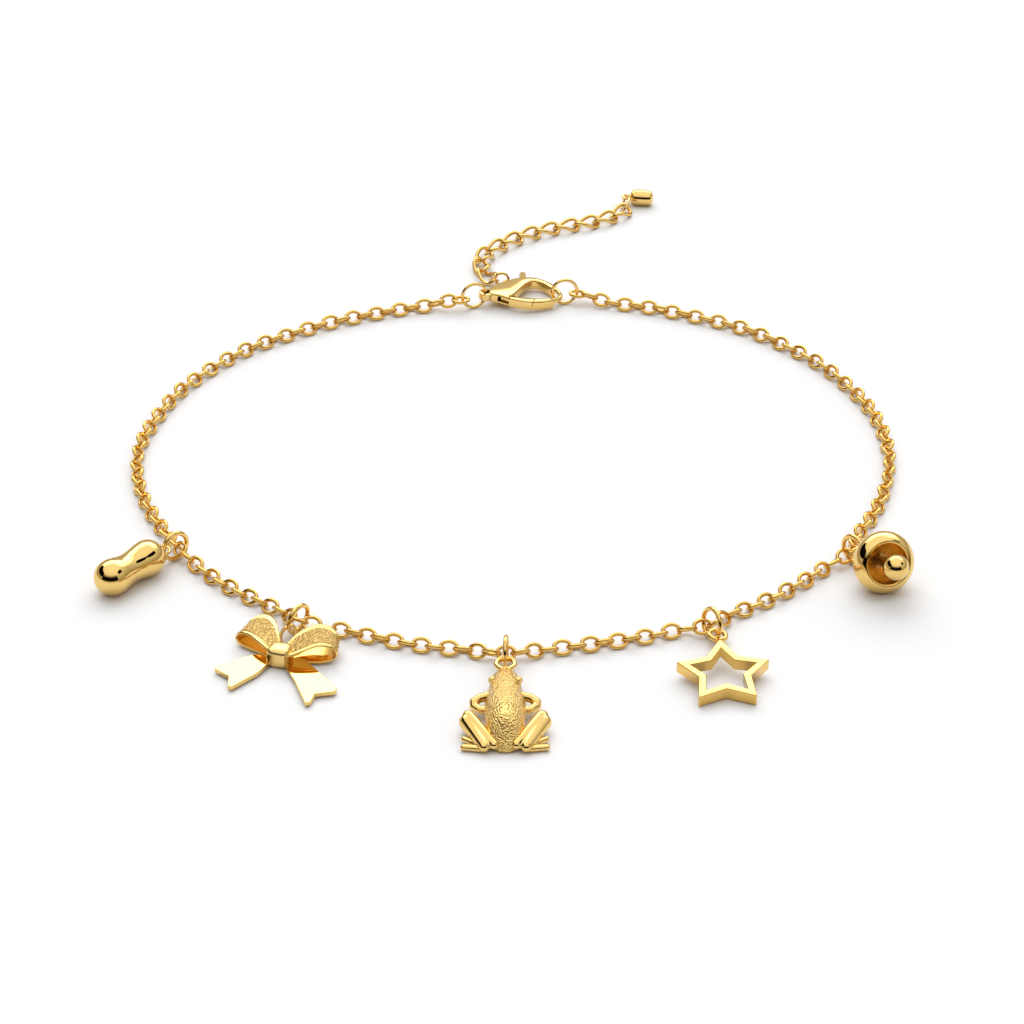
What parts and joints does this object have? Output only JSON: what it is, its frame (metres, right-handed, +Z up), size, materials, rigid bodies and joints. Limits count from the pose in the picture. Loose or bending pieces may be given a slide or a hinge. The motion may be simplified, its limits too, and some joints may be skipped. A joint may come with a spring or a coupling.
{
  "type": "charm necklace",
  "caption": "Gold-tone cable chain necklace with peanut, bow, frog, open star and bell charms, a lobster clasp and an extender chain, lying fastened.",
  "frame": {"origin": "centre of the bounding box, on the surface the necklace lies on", "axes": "+Z up from the surface, +Y towards the clasp, -Y towards the charms, +X towards the bell charm"},
  "size_m": [0.1356, 0.1886, 0.01],
  "materials": {
    "gold_polished": "polished yellow gold plate",
    "gold_satin": "satin and stippled yellow gold plate"
  },
  "bodies": {
    "necklace": {"chain": "gold_polished", "peanut_jump_ring": "gold_polished", "bow_jump_ring": "gold_polished", "frog_jump_ring": "gold_polished", "star_jump_ring": "gold_polished", "bell_jump_ring": "gold_polished", "peanut_charm": "gold_polished", "bow_charm": "gold_satin", "frog_charm": "gold_satin", "star_charm": "gold_satin", "bell_charm": "gold_polished", "clasp_body": "gold_polished", "left_clasp_ring": "gold_polished", "right_clasp_ring": "gold_polished", "extender_ring": "gold_polished", "extender_small_link": "gold_polished", "extender_link_01": "gold_polished", "extender_link_02": "gold_polished", "extender_link_03": "gold_polished", "extender_link_04": "gold_polished", "extender_link_05": "gold_polished", "extender_link_06": "gold_polished", "extender_link_07": "gold_polished", "extender_link_08": "gold_polished", "extender_link_09": "gold_polished", "extender_link_10": "gold_polished", "extender_link_11": "gold_polished", "extender_end_link": "gold_polished", "extender_end_cap": "gold_polished"},
    "clasp_lever": {"clasp_lever": "gold_polished"}
  },
  "joints": [
    {"name": "clasp_lever_hinge", "type": "hinge", "parent": "necklace", "child": "clasp_lever", "pos_m": [-0.00046, 0.05121, 0.00203], "axis": [0.0785, 0, 0.9969], "range_deg": [0, 10], "stiffness_Nm_per_rad": 0.02, "springref_deg": -5.73}
  ]
}
